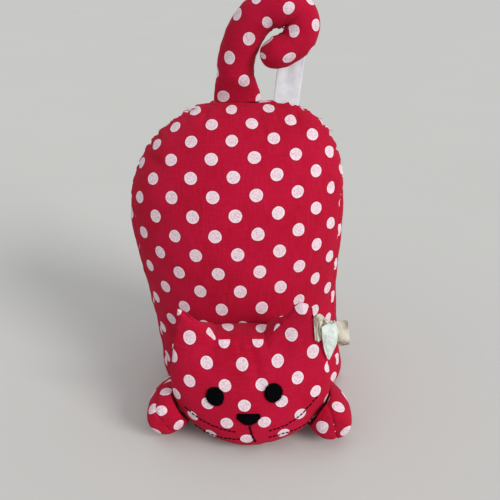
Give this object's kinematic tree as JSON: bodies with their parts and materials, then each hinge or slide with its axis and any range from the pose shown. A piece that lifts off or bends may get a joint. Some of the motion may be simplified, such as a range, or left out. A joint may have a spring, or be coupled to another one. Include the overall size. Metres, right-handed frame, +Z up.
{
  "type": "animal door stop",
  "caption": "Stuffed dotted cotton cat that stands on its flat sand-filled base and holds a door open, with a pillow head, side paws and a curled tail.",
  "frame": {"origin": "centre of the flat base panel's underside, on the floor", "axes": "+Z up; the cat faces -Y; +X is to the right of someone who faces the cat"},
  "size_m": [0.1667, 0.168, 0.2973],
  "materials": {
    "body_front_panel": "plain woven red cotton with pale round dots",
    "body_back_panel": "plain woven red cotton with pale round dots",
    "left_side_gusset": "plain woven red cotton with pale round dots",
    "right_side_gusset": "plain woven red cotton with pale round dots",
    "base_panel": "plain woven red cotton with pale round dots",
    "sand_bag": "unbleached canvas bag filled with sand",
    "body_wadding": "white fibre wadding",
    "head_front_panel": "plain woven red cotton with pale round dots",
    "head_back_panel": "plain woven red cotton with pale round dots",
    "head_wadding": "white fibre wadding",
    "left_eye": "black felt",
    "right_eye": "black felt",
    "nose": "black felt",
    "mouth_thread": "black sewing thread",
    "left_upper_whisker": "black sewing thread",
    "left_lower_whisker": "black sewing thread",
    "right_upper_whisker": "black sewing thread",
    "right_lower_whisker": "black sewing thread",
    "left_paw_cover": "plain woven red cotton with pale round dots",
    "left_paw_wadding": "white fibre wadding",
    "right_paw_cover": "plain woven red cotton with pale round dots",
    "right_paw_wadding": "white fibre wadding",
    "tail_cover": "plain woven red cotton with pale round dots",
    "tail_wadding": "white fibre wadding",
    "care_label": "bare white woven satin",
    "ribbon_bow": "worn cream ribbon, crumpled",
    "ribbon_end": "pale backed side of the worn ribbon"
  },
  "bodies": {
    "root": {"body_front_panel": "body_front_panel", "body_back_panel": "body_back_panel", "left_side_gusset": "left_side_gusset", "right_side_gusset": "right_side_gusset", "base_panel": "base_panel", "sand_bag": "sand_bag", "body_wadding": "body_wadding", "head_front_panel": "head_front_panel", "head_back_panel": "head_back_panel", "head_wadding": "head_wadding", "left_eye": "left_eye", "right_eye": "right_eye", "nose": "nose", "mouth_thread": "mouth_thread", "left_upper_whisker": "left_upper_whisker", "left_lower_whisker": "left_lower_whisker", "right_upper_whisker": "right_upper_whisker", "right_lower_whisker": "right_lower_whisker", "left_paw_cover": "left_paw_cover", "left_paw_wadding": "left_paw_wadding", "right_paw_cover": "right_paw_cover", "right_paw_wadding": "right_paw_wadding", "tail_cover": "tail_cover", "tail_wadding": "tail_wadding", "care_label": "care_label", "ribbon_bow": "ribbon_bow", "ribbon_end": "ribbon_end"}
  },
  "joints": []
}
